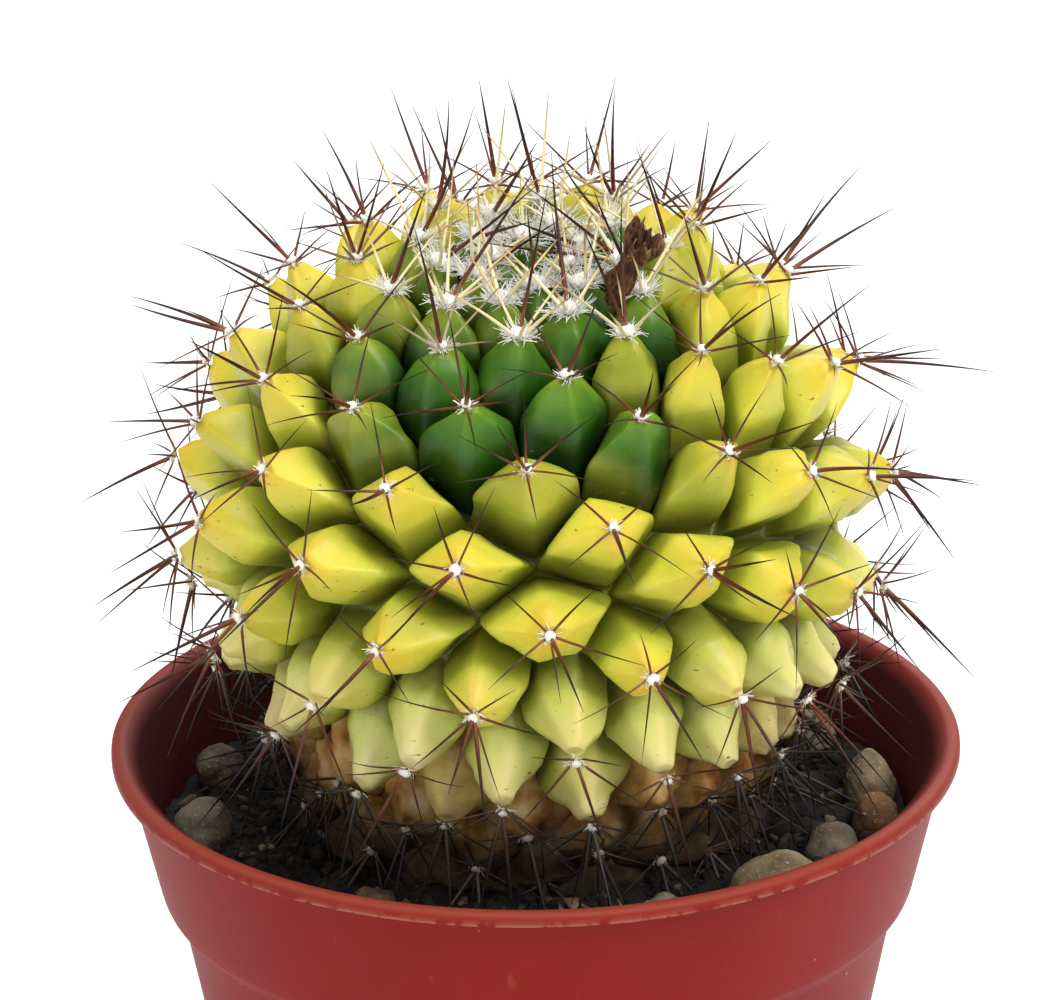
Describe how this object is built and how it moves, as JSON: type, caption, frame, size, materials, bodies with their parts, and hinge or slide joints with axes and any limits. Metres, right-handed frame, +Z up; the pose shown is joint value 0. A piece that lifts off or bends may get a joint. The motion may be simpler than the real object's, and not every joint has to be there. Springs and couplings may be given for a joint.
{
  "type": "potted round cactus",
  "caption": "Round spiny cactus with spirally set cone-shaped tubercles, growing in soil with pebbles in a tapered pot with a stepped collar.",
  "frame": {"origin": "centre of the pot's base, on the plane of its foot ring", "axes": "+Z up out of the pot; the plant leans forwards towards -Y, its front; +X to its right as seen from the front"},
  "size_m": [0.085, 0.085, 0.1355],
  "materials": {
    "pot_plastic": "satin",
    "potting_soil": "matte",
    "cactus_flesh": "satin",
    "spines": "satin",
    "dry_flower": "matte",
    "pebble_stone": "matte"
  },
  "bodies": {
    "root": {"pot": "pot_plastic", "soil": "potting_soil", "stem": "cactus_flesh", "withered_flower": "dry_flower", "pebble_01": "pebble_stone", "pebble_02": "pebble_stone", "pebble_03": "pebble_stone", "pebble_04": "pebble_stone", "pebble_05": "pebble_stone", "pebble_06": "pebble_stone", "pebble_07": "pebble_stone", "pebble_08": "pebble_stone", "pebble_09": "pebble_stone", "pebble_10": "pebble_stone", "pebble_11": "pebble_stone", "pebble_12": "pebble_stone", "pebble_13": "pebble_stone", "areole_spines_01": "spines", "areole_spines_02": "spines", "areole_spines_03": "spines", "areole_spines_04": "spines", "areole_spines_05": "spines", "areole_spines_06": "spines", "areole_spines_07": "spines", "areole_spines_08": "spines", "areole_spines_09": "spines", "areole_spines_10": "spines", "areole_spines_11": "spines", "areole_spines_12": "spines", "areole_spines_13": "spines", "areole_spines_14": "spines", "areole_spines_15": "spines", "areole_spines_16": "spines", "areole_spines_17": "spines", "areole_spines_18": "spines", "areole_spines_19": "spines", "areole_spines_20": "spines", "areole_spines_21": "spines", "areole_spines_22": "spines", "areole_spines_23": "spines", "areole_spines_24": "spines", "areole_spines_25": "spines", "areole_spines_26": "spines", "areole_spines_27": "spines", "areole_spines_28": "spines", "areole_spines_29": "spines", "areole_spines_30": "spines", "areole_spines_31": "spines", "areole_spines_32": "spines", "areole_spines_33": "spines", "areole_spines_34": "spines", "areole_spines_35": "spines", "areole_spines_36": "spines", "areole_spines_37": "spines", "areole_spines_38": "spines", "areole_spines_39": "spines", "areole_spines_40": "spines"}
  },
  "joints": []
}
